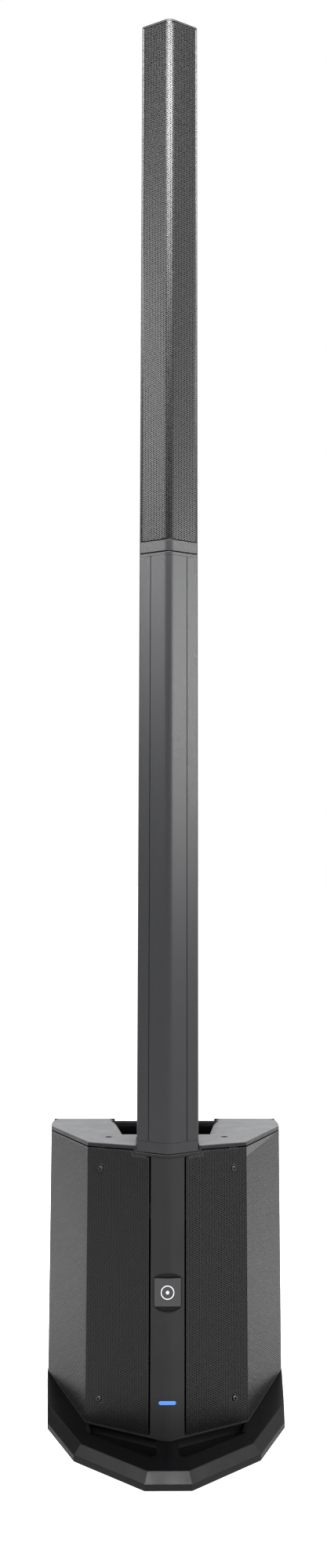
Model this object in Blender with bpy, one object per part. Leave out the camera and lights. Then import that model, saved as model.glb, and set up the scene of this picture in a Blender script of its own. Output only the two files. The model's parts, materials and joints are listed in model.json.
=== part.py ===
"""Column PA system: a wedge-fronted bass box on a wide foot, a spacer column and an array column.

Metres, +Z up, the front faces -Y. Inside this file y is counted back from the box's front ridge, and one
empty carries the whole object to its origin, the middle of the underside of its bounding box.
"""

import math

import bmesh
import bpy
from mathutils import Matrix, Vector

GAP = 0.0003  # clearance between pieces that seat on each other

# The V front that the box, the spine and both columns share
FACE_ANGLE = math.radians(25.3)
RIDGE_RADIUS = 0.016
RIDGE_STEPS = 6

# Foot
FOOT_FRONT = 0.080  # reach of the foot ahead of the ridge
FOOT_REAR = 0.342
FOOT_NOSE_HALF = 0.0295
FOOT_CHEEK_HALF = 0.1216
FOOT_CHEEK_Y = -0.010
FOOT_SHOULDER_HALF = 0.163
FOOT_SHOULDER_Y = 0.0745
FOOT_TOP = 0.019
FOOT_CHAMFER = 0.011
FOOT_LIFT = 0.001  # air under the foot, held by the rubber feet
POCKET_DEPTH = 0.012
POCKET_MARGIN = 0.030
BRIDGE_HALF = 0.0145
BAY_HALF = 0.128
BAY_DEPTH = 0.011
PAD_RADIUS = 0.012
PAD_HEIGHT = 0.003

# Bass box
CORNER_HALF = 0.1104  # where the inner faces meet the flanks
FLANK_HALF = 0.174
FLANK_ANGLE = math.radians(67.8)
SIDE_HALF = 0.1765
BOX_DEPTH = 0.330
BOX_TOP = 0.391  # height of the cover at the ridge
TOP_ANGLE = math.radians(5.06)
REAR_CUT = 0.012
PLATE_THICKNESS = 0.0025
FLOOR_THICKNESS = 0.008
WALL = 0.006
FLANGE = 0.003  # what the shell's own edge shows behind each grille
GRILLE_ROOM = 0.011  # from the grille's face to the wall behind it
COVER_THICKNESS = 0.0054
COVER_REAR = 0.290
SHOULDER_ANGLE = math.radians(34)
BOARD_Y = 0.135
BOARD_THICKNESS = 0.012
BOARD_TOP = 0.298

# Handle
HANDLE_FRONT = 0.118
HANDLE_REAR = 0.283
HANDLE_FRONT_HALF = 0.061
HANDLE_REAR_HALF = 0.080
HANDLE_FLOOR = 0.3075
HANDLE_REAR_TOP = 0.348
HANDLE_FLARE = 0.010
CUP_WALL = 0.0025
BAR_FRONT = 0.247
BAR_REAR = 0.272
BAR_HEIGHT = 0.018
BAR_DROP = 0.0010  # from the cover's surface down to the bar

# Grilles, spine, badge and light
SPINE_HALF = 0.0226
SPINE_BACK = 0.0135
SPINE_SLOT = 0.0026
SHEET = 0.0014
GRILLE_FOLD = 0.008
GRILLE_SLOT = 0.0018
SCREW_X = 0.092
SCREW_HIGH = 0.353
SCREW_LOW = 0.054
SCREW_HEAD = 0.0038
SCREW_SHANK = 0.0018
BOSS = 0.012
BADGE_SIZE = 0.0352
BADGE_FRONT = 0.0040
BADGE_THICKNESS = 0.003
BADGE_Z = 0.2035
DISH_RADIUS = 0.0262
DISH_DEPTH = 0.0079
LED_WIDTH = 0.0228
LED_HEIGHT = 0.0043
LED_Z = 0.067
LED_TILT = math.radians(24)  # the slot looks up at whoever stands in front
COVER_SCREW_X = 0.0826
COVER_SCREW_Y = 0.095

# Columns
COLUMN_WIDTH = 0.0842
COLUMN_DEPTH = 0.095
COLUMN_REAR_RADIUS = 0.020
COLUMN_WALL = 0.003
COLUMN_CLEARANCE = 0.0013
COLUMN_SEAT = 0.3803  # floor of the pocket that the column stands in
SEAT_GAP = 0.0015
SEAT_THICKNESS = 0.0037
FRAME_WALL = 0.0034
FRAME_PROUD = 0.0002  # the frame stands a hair ahead of the cover's edge
SPIGOT_X = 0.046
SPIGOT_Y = 0.040
SPIGOT_MIDDLE = 0.048
SPIGOT_LENGTH = 0.060
SOCKET_WALL = 0.004
CONTACT_HEIGHT = 0.005
SPACER_LENGTH = 0.8344
SPACER_FOOT_CAP = 0.0140
SPACER_HEAD_CAP = 0.0044
GROOVE_X = 0.0262
GROOVE_WIDTH = 0.0011
GROOVE_DEPTH = 0.0013
LEAD_RADIUS = 0.0035
JOINT_GAP = 0.0012
ARRAY_LENGTH = 0.8326
ARRAY_FOOT_CAP = 0.0165
ARRAY_HEAD_CAP = 0.0045
ARRAY_SHADOW = 0.0008
ARRAY_MARGIN = 0.0024  # smooth strip beside the array's grille
ARRAY_FOLD = 0.0055

# Drivers
WOOFER_OPENING = 0.1060
WOOFER_FLANGE = 0.0170
WOOFER_EDGE = 0.0120  # from the board's hole in to the cone
WOOFER_Z = 0.163
WOOFER_DEPTH = 0.092
DRIVER_COUNT = 6
DRIVER_OPENING = 0.0300
DRIVER_FLANGE = 0.0050
DRIVER_EDGE = 0.0045
DRIVER_DEPTH = 0.038
BAFFLE_CLEARANCE = 0.0021  # from the array grille's folds to the baffle
BAFFLE_THICKNESS = 0.004

# Control panel
WINDOW_HALF = 0.100
WINDOW_LOW = 0.055
WINDOW_HIGH = 0.255
PANEL_THICKNESS = 0.0025
PANEL_OVERLAP = 0.0065
KNOB_XS = (-0.066, -0.022, 0.022, 0.066)
KNOB_Z = 0.230
KNOB_RADIUS = 0.0088
KNOB_HEIGHT = 0.013
KNOB_SHAFT = 0.003
BUTTON_Z = 0.196
BUTTON_RADIUS = 0.004
JACK_XS = (-0.052, 0.0)
JACK_Z = 0.158
JACK_RADIUS = 0.0115
SWITCH_X = -0.046
SWITCH_Z = 0.090
SWITCH_HALF_X = 0.0068
SWITCH_REACH = 0.0095
SWITCH_RISE = 0.0050
SWITCH_DIP = 0.0032
SWITCH_TILT = math.radians(8)
INLET_X = 0.046
INLET_WIDTH = 0.0270
INLET_HEIGHT = 0.0190

# Facets round a turned piece
FINE = 28
MEDIUM = 18
COARSE = 14

# Places that follow from the sizes above
FACE_SLOPE = math.tan(FACE_ANGLE)
RIDGE_SETBACK = RIDGE_RADIUS * (1 / math.cos(FACE_ANGLE) - 1)
CORNER_Y = CORNER_HALF * FACE_SLOPE - RIDGE_SETBACK
FLANK_Y = CORNER_Y + (FLANK_HALF - CORNER_HALF) * math.tan(FLANK_ANGLE)
FLANK_ROOM_X = GRILLE_ROOM / math.sin(FLANK_ANGLE)
BOX_BOTTOM = FOOT_TOP + GAP
PLATE_TOP = BOX_BOTTOM + PLATE_THICKNESS
FLOOR_TOP = BOX_BOTTOM + FLOOR_THICKNESS
COLUMN_HALF = COLUMN_WIDTH / 2
POCKET_HALF = COLUMN_HALF + COLUMN_CLEARANCE
FRAME_HALF = POCKET_HALF + FRAME_WALL
FRAME_LOW = COLUMN_SEAT - SEAT_THICKNESS
SPACER_Z = COLUMN_SEAT + SEAT_GAP
ARRAY_Z = SPACER_Z + SPACER_LENGTH + JOINT_GAP
PANEL_BACK = BOX_DEPTH - WALL - GAP  # the panel's outer face, against the rear wall's inner face
PANEL_FRONT = PANEL_BACK - PANEL_THICKNESS
WOOFER_CONE = WOOFER_OPENING - WOOFER_EDGE
DRIVER_CONE = DRIVER_OPENING - DRIVER_EDGE
RIDGE_Y = (FOOT_FRONT - FOOT_REAR) / 2


# ---------------------------------------------------------------- scene and materials


def clear_scene():
    for obj in list(bpy.data.objects):
        bpy.data.objects.remove(obj, do_unlink=True)


def principled(name, colour, roughness, metallic=0.0):
    material = bpy.data.materials.new(name)
    material.use_nodes = True
    shader = material.node_tree.nodes["Principled BSDF"]
    shader.inputs["Base Color"].default_value = (*colour, 1.0)
    shader.inputs["Roughness"].default_value = roughness
    shader.inputs["Metallic"].default_value = metallic
    return material


def make_materials():
    return {
        "cabinet": principled("cabinet_plastic", (0.030, 0.030, 0.033), 0.55),
        "cover": principled("cover_plastic", (0.075, 0.076, 0.080), 0.42),
        "foot": principled("foot_plastic", (0.045, 0.045, 0.048), 0.40),
        "spine": principled("spine_plastic", (0.060, 0.060, 0.063), 0.50),
        "column": principled("column_paint", (0.110, 0.110, 0.118), 0.45, 0.2),
        "grille": principled("grille_steel", (0.060, 0.060, 0.063), 0.45, 0.6),
        "dark": principled("inner_black", (0.012, 0.012, 0.013), 0.80),
        "board": principled("baffle_wood", (0.025, 0.023, 0.021), 0.85),
        "rubber": principled("rubber_black", (0.020, 0.020, 0.020), 0.90),
        "paper": principled("cone_paper", (0.030, 0.030, 0.032), 0.80),
        "light": principled("light_blue", (0.130, 0.340, 1.000), 0.25),
        "screw": principled("screw_black", (0.050, 0.050, 0.052), 0.35, 0.8),
        "metal": principled("bare_aluminium", (0.520, 0.520, 0.530), 0.40, 1.0),
        "brass": principled("contact_brass", (0.620, 0.480, 0.220), 0.35, 1.0),
        "circuit": principled("circuit_green", (0.020, 0.110, 0.050), 0.55),
    }


# ---------------------------------------------------------------- modelling helpers


def put(name, mesh, material, parent, location=(0, 0, 0), rotation=(0, 0, 0)):
    """One named object from a mesh, smooth-shaded with its sharp edges kept."""
    mesh.shade_smooth()
    mesh.set_sharp_from_angle(angle=math.radians(32))
    if material and not mesh.materials:
        mesh.materials.append(material)
    obj = bpy.data.objects.new(name, mesh)
    bpy.context.scene.collection.objects.link(obj)
    obj.parent = parent
    obj.location = location
    obj.rotation_euler = rotation
    return obj


def empty(name, parent=None, location=(0, 0, 0)):
    obj = bpy.data.objects.new(name, None)
    bpy.context.scene.collection.objects.link(obj)
    obj.parent = parent
    obj.location = location
    return obj


def finish_mesh(bm, name):
    bmesh.ops.recalc_face_normals(bm, faces=bm.faces)
    mesh = bpy.data.meshes.new(name)
    bm.to_mesh(mesh)
    bm.free()
    return mesh


def prism_bmesh(outline, low, high):
    """The outline in x and y, extruded from low to high."""
    bm = bmesh.new()
    base = bm.faces.new([bm.verts.new((x, y, low)) for x, y in outline])
    raised = bmesh.ops.extrude_face_region(bm, geom=[base])["geom"]
    moved = [item for item in raised if isinstance(item, bmesh.types.BMVert)]
    bmesh.ops.translate(bm, verts=moved, vec=(0, 0, high - low))
    bmesh.ops.recalc_face_normals(bm, faces=bm.faces)
    return bm


def prism(name, outline, low, high):
    return finish_mesh(prism_bmesh(outline, low, high), name)


def block_bmesh(low, high):
    (x0, y0, z0), (x1, y1, z1) = low, high
    return prism_bmesh([(x0, y0), (x1, y0), (x1, y1), (x0, y1)], z0, z1)


def block(name, low, high):
    return finish_mesh(block_bmesh(low, high), name)


def slice_off(bm, point, normal):
    """Removes what lies on the normal's side of a plane and closes the cut."""
    geometry = bm.verts[:] + bm.edges[:] + bm.faces[:]
    cut = bmesh.ops.bisect_plane(
        bm, geom=geometry, plane_co=point, plane_no=normal, clear_outer=True, dist=1e-7
    )["geom_cut"]
    edges = [item for item in cut if isinstance(item, bmesh.types.BMEdge)]
    bmesh.ops.contextual_create(bm, geom=edges)
    bmesh.ops.recalc_face_normals(bm, faces=bm.faces)


def round_edges(bm, chosen, width, segments=2):
    """Rounds each edge that chosen(edge) picks."""
    edges = [edge for edge in bm.edges if chosen(edge)]
    bmesh.ops.bevel(
        bm, geom=edges, offset=width, segments=segments, profile=0.5, affect="EDGES"
    )


def level_edge(height, slope=0.0, reach=1e-5):
    """A test for edges at one height, or on a plane that falls towards the rear."""

    def chosen(edge):
        return all(abs(v.co.z - height + v.co.y * slope) < reach for v in edge.verts)

    return chosen


def turned(name, profile, segments, closed=False):
    """Turns a profile of (radius, height) points about Z. It starts and ends on the axis unless closed."""
    bm = bmesh.new()
    rings = []
    for radius, height in profile:
        if radius < 1e-9:
            rings.append([bm.verts.new((0, 0, height))])
            continue
        angles = [2 * math.pi * step / segments for step in range(segments)]
        rings.append([bm.verts.new((radius * math.cos(a), radius * math.sin(a), height)) for a in angles])
    pairs = list(zip(rings, rings[1:])) + ([(rings[-1], rings[0])] if closed else [])
    for lower, upper in pairs:
        if len(lower) + len(upper) == 2:  # both on the axis
            continue
        for step in range(segments):
            after = (step + 1) % segments
            corners = [lower[step % len(lower)], lower[after % len(lower)]]
            corners += [upper[after % len(upper)], upper[step % len(upper)]]
            bm.faces.new(list(dict.fromkeys(corners)))
    return finish_mesh(bm, name)


def rod(name, radius, low, high, segments=MEDIUM):
    return turned(name, [(0, low), (radius, low), (radius, high), (0, high)], segments)


def boolean(target, other, operation):
    other.hide_render = True
    other.display_type = "WIRE"
    modifier = target.modifiers.new(operation.lower(), "BOOLEAN")
    modifier.operation = operation
    modifier.solver = "EXACT"
    modifier.object = other


def cut(target, mesh, location=(0, 0, 0), rotation=(0, 0, 0)):
    boolean(target, put("cutter", mesh, None, target.parent, location, rotation), "DIFFERENCE")


def add(target, mesh, location=(0, 0, 0), rotation=(0, 0, 0)):
    boolean(target, put("addition", mesh, None, target.parent, location, rotation), "UNION")


TO_REAR = (math.radians(-90), 0, 0)  # turns a piece made along +Z so that it points to the rear
TO_FRONT = (math.radians(90), 0, 0)


# ---------------------------------------------------------------- shared outlines


def face_y(x, inset=0.0):
    """How far back the V front lies at x, or a surface inset behind it."""
    return abs(x) * FACE_SLOPE - RIDGE_SETBACK + inset / math.cos(FACE_ANGLE)


def ridge_arc(inset=0.0):
    """The rounded ridge from left to right, as (x, y)."""
    radius = RIDGE_RADIUS - inset
    angles = [FACE_ANGLE * (2 * step / RIDGE_STEPS - 1) for step in range(RIDGE_STEPS + 1)]
    return [(radius * math.sin(a), RIDGE_RADIUS - radius * math.cos(a)) for a in angles]


def mirrored(right):
    """A closed outline from its right half, listed from the front to the rear."""
    return right + [(-x, y) for x, y in reversed(right) if x > 1e-9]


def v_outline(half, back, inset=0.0):
    """A closed outline with the V front and a flat back."""
    arc = [point for point in ridge_arc(inset) if point[0] > -1e-9]
    return mirrored(arc + [(half, face_y(half, inset)), (half, back)])


def column_outline(inset=0.0, grooves=False):
    """Both columns' section: V front, straight sides and a round-cornered back."""
    half = COLUMN_HALF - inset
    back = COLUMN_DEPTH - inset
    radius = COLUMN_REAR_RADIUS - inset
    points = [point for point in ridge_arc(inset) if point[0] > -1e-9]
    if grooves:
        low, high = GROOVE_X - GROOVE_WIDTH / 2, GROOVE_X + GROOVE_WIDTH / 2
        points += [(low, face_y(low)), (low, face_y(low) + GROOVE_DEPTH)]
        points += [(high, face_y(high) + GROOVE_DEPTH), (high, face_y(high))]
    nib = min(0.0012, half / 8)
    points += [(half - nib, face_y(half - nib, inset)), (half, face_y(half, inset) + nib)]
    for step in range(6):
        angle = math.radians(90) * step / 5
        points.append((half - radius + radius * math.cos(angle), back - radius + radius * math.sin(angle)))
    return mirrored(points)


def flank_x(y):
    return CORNER_HALF + (y - CORNER_Y) / math.tan(FLANK_ANGLE)


def top_z(y):
    return BOX_TOP - y * math.tan(TOP_ANGLE)


def side_outline(rear_half, rear_y):
    """The box's plan: V front, flanks and sides, ending at a rear edge of the given half width."""
    arc = [point for point in ridge_arc() if point[0] > -1e-9]
    right = arc + [(CORNER_HALF, CORNER_Y), (FLANK_HALF, FLANK_Y), (SIDE_HALF, FLANK_Y + 0.030)]
    return mirrored(right + [(SIDE_HALF, rear_y - 2 * REAR_CUT), (rear_half, rear_y)])


TOP_NORMAL = Vector((0, math.sin(TOP_ANGLE), math.cos(TOP_ANGLE)))
SHOULDER_NORMAL = Vector((0, math.sin(SHOULDER_ANGLE), math.cos(SHOULDER_ANGLE)))


def face_frame(side, x, z):
    """Location and rotation of a piece that points out of an inner face at x: its +Z leaves the face."""
    outward = Vector((side * math.sin(FACE_ANGLE), -math.cos(FACE_ANGLE), 0))
    location = Vector((side * x, face_y(x), z))
    return location, outward.to_track_quat("Z", "Y").to_euler(), outward


# ---------------------------------------------------------------- foot


def foot_front(inset=0.0):
    """The foot's right front edge moved in, from the nose to where it runs into the side."""
    corners = [(0.0, -FOOT_FRONT), (FOOT_NOSE_HALF, -FOOT_FRONT), (FOOT_CHEEK_HALF, FOOT_CHEEK_Y)]
    corners += [(FOOT_SHOULDER_HALF, FOOT_SHOULDER_Y), (FLANK_HALF + 0.001, FLANK_Y)]
    lines = []
    for (x0, y0), (x1, y1) in zip(corners, corners[1:]):
        length = math.hypot(x1 - x0, y1 - y0)
        shift = inset if len(lines) < 3 else 0.0  # the side keeps its plane
        nx, ny = -(y1 - y0) / length * shift, (x1 - x0) / length * shift
        lines.append(((x0 + nx, y0 + ny), (x1 - x0, y1 - y0)))
    points = []
    for (start, along), (other, across) in zip(lines, lines[1:]):
        turn = along[0] * across[1] - along[1] * across[0]
        share = ((other[0] - start[0]) * across[1] - (other[1] - start[1]) * across[0]) / turn
        points.append((start[0] + along[0] * share, start[1] + along[1] * share))
    return points


def foot_outline(inset=0.0):
    rear = [(FLANK_HALF + 0.001, FLANK_Y), (SIDE_HALF, FOOT_REAR - 0.042), (SIDE_HALF - 0.026, FOOT_REAR)]
    return mirrored(foot_front(inset) + rear)


def pocket_outline(side):
    """The three-cornered pocket in the foot's top on one side of the bridge."""
    corner = 0.008
    near = -FOOT_FRONT + FOOT_CHAMFER + POCKET_MARGIN + 0.002
    tip = (FOOT_CHEEK_HALF - 0.016, FOOT_CHEEK_Y + 0.034)
    middle = (BRIDGE_HALF + corner, near + corner)
    points = [(BRIDGE_HALF, face_y(BRIDGE_HALF) + 0.004)]
    for step in range(6):
        angle = math.radians(180 + 24 * step)
        points.append((middle[0] + corner * math.cos(angle), middle[1] + corner * math.sin(angle)))
    points += [tip, (tip[0] + 0.003, face_y(tip[0]) - 0.002), (tip[0] - 0.004, face_y(tip[0]) + 0.004)]
    return [(side * x, y) for x, y in points]


PADS = [(side * x, y) for x, y in ((0.112, 0.012), (0.142, 0.292)) for side in (-1, 1)]


def make_foot(parent, materials):
    wall_top = FOOT_TOP - FOOT_CHAMFER
    bm = bmesh.new()
    levels = ((FOOT_LIFT, 0.0), (wall_top, 0.0), (FOOT_TOP, FOOT_CHAMFER))
    loops = [[bm.verts.new((x, y, z)) for x, y in foot_outline(inset)] for z, inset in levels]
    for lower, upper in zip(loops, loops[1:]):
        for step in range(len(lower)):
            after = (step + 1) % len(lower)
            bm.faces.new([lower[step], lower[after], upper[after], upper[step]])
    bm.faces.new(loops[0])
    bm.faces.new(loops[-1])
    bmesh.ops.recalc_face_normals(bm, faces=bm.faces)
    round_edges(bm, lambda e: level_edge(wall_top)(e) or level_edge(FOOT_TOP)(e), 0.0007)
    foot = put("base_foot", finish_mesh(bm, "base_foot"), materials["foot"], parent)
    for side in (-1, 1):
        cut(foot, prism("pocket", pocket_outline(side), FOOT_TOP - POCKET_DEPTH, FOOT_TOP + 0.01))
        low, high = sorted((side * 0.004, side * BAY_HALF))
        rear = FOOT_REAR - 0.080
        cut(foot, block("bay", (low, 0.075, FOOT_LIFT - 0.01), (high, rear, FOOT_LIFT + BAY_DEPTH)))
        x = side * (BRIDGE_HALF - 0.0012)
        rib = (x - 0.0008, -0.003, FOOT_TOP - 0.002), (x + 0.0008, 0.003, FOOT_TOP + 0.0012)
        add(foot, block("rib", *rib))
    seat = PAD_HEIGHT + GAP
    for x, y in PADS:
        cut(foot, rod("seat", PAD_RADIUS + 2 * GAP, FOOT_LIFT - 0.01, seat, MEDIUM), (x, y, 0))


def make_rubber_feet(parent, materials):
    edge = PAD_HEIGHT / 3
    profile = [(0, 0), (PAD_RADIUS - edge, 0), (PAD_RADIUS, edge), (PAD_RADIUS, PAD_HEIGHT), (0, PAD_HEIGHT)]
    mesh = turned("rubber_foot", profile, MEDIUM)
    names = ("front_left", "front_right", "rear_left", "rear_right")
    for name, (x, y) in zip(names, PADS):
        put("rubber_foot_" + name, mesh, materials["rubber"], parent, (x, y, 0))


# ---------------------------------------------------------------- bass box


def shell_outline():
    """The cabinet's walls in plan: open towards the baffle board, with a flange where the grilles end."""
    flange = FLANK_Y - FLANGE
    right = [(flank_x(BOARD_Y) - FLANK_ROOM_X, BOARD_Y), (flank_x(flange) - FLANK_ROOM_X, flange)]
    right += [(flank_x(flange), flange), (FLANK_HALF, FLANK_Y), (SIDE_HALF, FLANK_Y + 0.030)]
    right += [(SIDE_HALF, BOX_DEPTH - 2 * REAR_CUT), (SIDE_HALF - REAR_CUT, BOX_DEPTH)]
    return mirrored(right)


def cavity_outline(rear):
    """The inside of the cabinet, running out of its open front."""
    inner = FLANK_Y - 0.010
    right = [(board_half() + GAP, BOARD_Y - 0.02), (board_half() + GAP, BOARD_Y)]
    right += [(flank_x(inner) - FLANK_ROOM_X - WALL, inner), (SIDE_HALF - WALL, FLANK_Y + 0.030)]
    right += [(SIDE_HALF - WALL, min(rear, BOX_DEPTH - 2 * REAR_CUT) - 0.001)]
    right += [(SIDE_HALF - WALL - REAR_CUT, rear)]
    return mirrored(right)


def board_half():
    return flank_x(BOARD_Y) - FLANK_ROOM_X - WALL - GAP


def make_cabinet_shell(parent, materials):
    bm = prism_bmesh(shell_outline(), BOX_BOTTOM, BOX_TOP)
    slice_off(bm, (0, 0, BOX_TOP), TOP_NORMAL)
    slice_off(bm, (0, COVER_REAR, top_z(COVER_REAR)), SHOULDER_NORMAL)
    shell = put("cabinet_shell", finish_mesh(bm, "cabinet_shell"), materials["cabinet"], parent)

    lid = block_bmesh((-0.3, -0.1, 0.2), (0.3, COVER_REAR + GAP, 0.6))
    slice_off(lid, (0, 0, BOX_TOP - COVER_THICKNESS - GAP), -TOP_NORMAL)
    cut(shell, finish_mesh(lid, "lid_room"))

    lip = COVER_REAR - WALL
    cut(shell, prism("cavity", cavity_outline(lip), FLOOR_TOP, BOX_TOP + 0.05))
    rear = prism_bmesh(cavity_outline(BOX_DEPTH - WALL), FLOOR_TOP, BOX_TOP)
    slice_off(rear, (0, COVER_REAR, top_z(COVER_REAR) - WALL / math.cos(SHOULDER_ANGLE)), SHOULDER_NORMAL)
    slice_off(rear, (0, lip - 0.02, 0), (0, -1, 0))
    cut(shell, finish_mesh(rear, "rear_cavity"))

    notch = HANDLE_REAR_HALF - GAP
    cut(shell, block("notch", (-notch, lip - 0.02, HANDLE_REAR_TOP), (notch, BOX_DEPTH + 0.02, BOX_TOP)))
    window = (-WINDOW_HALF, BOX_DEPTH - 0.03, WINDOW_LOW), (WINDOW_HALF, BOX_DEPTH + 0.02, WINDOW_HIGH)
    cut(shell, block("window", *window))

    plate = prism_bmesh(side_outline(SIDE_HALF - REAR_CUT, BOX_DEPTH), BOX_BOTTOM, PLATE_TOP)
    in_front = level_edge(PLATE_TOP)
    round_edges(plate, lambda e: in_front(e) and max(v.co.y for v in e.verts) < FLANK_Y + GAP, 0.0006)
    add(shell, finish_mesh(plate, "plate"))
    for side in (-1, 1):
        add_screw_boss(shell, side, SCREW_LOW, PLATE_TOP - 0.001, SCREW_LOW + BOSS / 2)


def add_screw_boss(target, side, screw_z, low, high):
    """A square post behind the grille for a screw, standing on the plate or hanging from the cover."""
    location, rotation, outward = face_frame(side, SCREW_X, 0)
    location -= outward * (SHEET + GAP)
    half = BOSS / 2
    outline = [(-half, 0), (half, 0), (half, BOSS), (-half, BOSS)]
    turn = (0, 0, side * FACE_ANGLE)
    add(target, prism("boss", outline, low, high), location, turn)
    location.z = screw_z
    cut(target, rod("bite", SCREW_SHANK + GAP, -0.0095, 0.005, 12), location, rotation)


def make_baffle_board(parent, materials):
    half = board_half()
    low, high = (-half, BOARD_Y, FLOOR_TOP + GAP), (half, BOARD_Y + BOARD_THICKNESS, BOARD_TOP)
    board = put("baffle_board", block("baffle_board", low, high), materials["board"], parent)
    hole = rod("hole", WOOFER_OPENING, -0.05, 0.05, FINE)
    cut(board, hole, (0, BOARD_Y, WOOFER_Z), TO_FRONT)


def handle_plan(grow=0.0, flare=0.0, front=HANDLE_FRONT, rear=HANDLE_REAR):
    """The recess in plan: narrow at the front and wide at the rear."""
    lean = (HANDLE_REAR_HALF - HANDLE_FRONT_HALF) / (HANDLE_REAR - HANDLE_FRONT)
    spots = []
    for y in (front, rear):
        half = HANDLE_FRONT_HALF + (y - HANDLE_FRONT) * lean + grow + flare
        spots.append((half, y))
    (front_half, y0), (rear_half, y1) = spots
    y0, y1 = y0 - grow, y1 + grow
    return [(-front_half, y0), (front_half, y0), (rear_half, y1), (-rear_half, y1)]


def handle_opening(grow=0.0):
    """The space over the hand recess, with long soft flares down its two sides, running out to the rear."""
    bm = bmesh.new()
    flares = [(-0.02, 1.0), (0.0, 1.0), (0.0009, 0.62), (0.0021, 0.32), (0.0037, 0.10)]
    flares += [(COVER_THICKNESS - GAP, 0.0), (0.04, 0.0)]
    loops = []
    for depth, share in flares:
        plan = handle_plan(grow, share * HANDLE_FLARE, HANDLE_FRONT, COVER_REAR + 0.01)
        loops.append([bm.verts.new((x, y, top_z(y) - depth)) for x, y in plan])
    for lower, upper in zip(loops, loops[1:]):
        for step in range(4):
            after = (step + 1) % 4
            bm.faces.new([lower[step], lower[after], upper[after], upper[step]])
    bm.faces.new(loops[0])
    bm.faces.new(loops[-1])
    return finish_mesh(bm, "opening")


def make_top_cover(parent, materials):
    bm = prism_bmesh(side_outline(SIDE_HALF - REAR_CUT / 2, COVER_REAR), BOX_TOP - 0.12, BOX_TOP + 0.02)
    slice_off(bm, (0, 0, BOX_TOP), TOP_NORMAL)
    slice_off(bm, (0, 0, BOX_TOP - COVER_THICKNESS), -TOP_NORMAL)
    round_edges(bm, level_edge(BOX_TOP, math.tan(TOP_ANGLE)), 0.0012)
    cover = put("top_cover", finish_mesh(bm, "top_cover"), materials["cover"], parent)

    frame_back = COLUMN_DEPTH + COLUMN_CLEARANCE + FRAME_WALL
    frame = prism_bmesh(v_outline(FRAME_HALF, frame_back, -FRAME_PROUD), FRAME_LOW, BOX_TOP + 0.02)
    slice_off(frame, (0, 0, BOX_TOP - 0.0004), TOP_NORMAL)
    add(cover, finish_mesh(frame, "column_frame"))
    pocket_back = COLUMN_DEPTH + COLUMN_CLEARANCE
    pocket = (-POCKET_HALF, -0.02, COLUMN_SEAT), (POCKET_HALF, pocket_back, BOX_TOP + 0.05)
    cut(cover, block("column_room", *pocket))
    cut(cover, block("spigot_room", *spigot_box(GAP, FRAME_LOW - 0.02, BOX_TOP)))
    cut(cover, handle_opening())
    for side in (-1, 1):
        add_screw_boss(cover, side, SCREW_HIGH, SCREW_HIGH - BOSS / 2, top_z(CORNER_Y) - COVER_THICKNESS / 2)
        well = rod("well", 0.0052, -0.0035, 0.02, MEDIUM)
        place = (side * COVER_SCREW_X, COVER_SCREW_Y, top_z(COVER_SCREW_Y))
        cut(cover, well, place, (-TOP_ANGLE, 0, 0))


def make_cover_screws(parent, materials):
    profile = [(0, -0.0033), (0.0045, -0.0033), (0.0045, -0.0016), (0.0038, -0.0010)]
    profile += [(0.0018, -0.0010), (0.0018, -0.0022), (0, -0.0022)]
    mesh = turned("cover_screw", profile, COARSE)
    for side, name in ((-1, "left"), (1, "right")):
        place = (side * COVER_SCREW_X, COVER_SCREW_Y, top_z(COVER_SCREW_Y))
        put("cover_screw_" + name, mesh, materials["screw"], parent, place, (-TOP_ANGLE, 0, 0))


def make_handle(parent, materials):
    bm = prism_bmesh(handle_plan(CUP_WALL), HANDLE_FLOOR - CUP_WALL, BOX_TOP)
    slice_off(bm, (0, 0, BOX_TOP - COVER_THICKNESS - GAP), TOP_NORMAL)
    cup = put("handle_cup", finish_mesh(bm, "handle_cup"), materials["dark"], parent)
    cut(cup, prism("hand_room", handle_plan(), HANDLE_FLOOR, BOX_TOP + 0.05))
    rear = HANDLE_REAR - 0.004
    cut(cup, block("low_rear", (-0.2, rear, HANDLE_REAR_TOP), (0.2, rear + 0.05, BOX_TOP)))

    reach = HANDLE_REAR_HALF + 2 * HANDLE_FLARE
    top = top_z((BAR_FRONT + BAR_REAR) / 2) - BAR_DROP
    bm = block_bmesh((-reach, BAR_FRONT, top - BAR_HEIGHT), (reach, BAR_REAR, top))
    along = [edge for edge in bm.edges if abs(edge.verts[0].co.x - edge.verts[1].co.x) > reach]
    bmesh.ops.bevel(bm, geom=along, offset=0.006, segments=4, profile=0.5, affect="EDGES")
    bar = put("handle_bar", finish_mesh(bm, "handle_bar"), materials["dark"], parent)
    boolean(bar, put("cutter", handle_opening(-GAP), None, parent), "INTERSECT")


# ---------------------------------------------------------------- box front


def spigot_box(grow, low, high):
    """Corners of a box around the column spigot's section."""
    half_x, half_y = SPIGOT_X / 2 + grow, SPIGOT_Y / 2 + grow
    return (-half_x, SPIGOT_MIDDLE - half_y, low), (half_x, SPIGOT_MIDDLE + half_y, high)


def make_column_socket(parent, materials):
    top = FRAME_LOW - GAP
    floor = SPACER_Z - SPIGOT_LENGTH - CONTACT_HEIGHT - 3 * GAP
    low, high = spigot_box(GAP + SOCKET_WALL, floor - SOCKET_WALL, top)
    socket = put("column_socket", block("column_socket", low, high), materials["dark"], parent)
    cut(socket, block("spigot_hole", *spigot_box(GAP, floor, top + 0.02)))
    put_contacts("socket_contacts", parent, materials, floor + GAP)


def put_contacts(name, parent, materials, floor):
    low, high = spigot_box(-0.009, floor, floor + CONTACT_HEIGHT - 0.0015)
    contacts = put(name, block(name, low, high), materials["brass"], parent)
    for x in (-0.0075, 0.0075):
        for y in (-0.005, 0.005):
            pin = rod("pin", 0.0016, floor, floor + CONTACT_HEIGHT, 10)
            add(contacts, pin, (x, SPIGOT_MIDDLE + y, 0))


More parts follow.
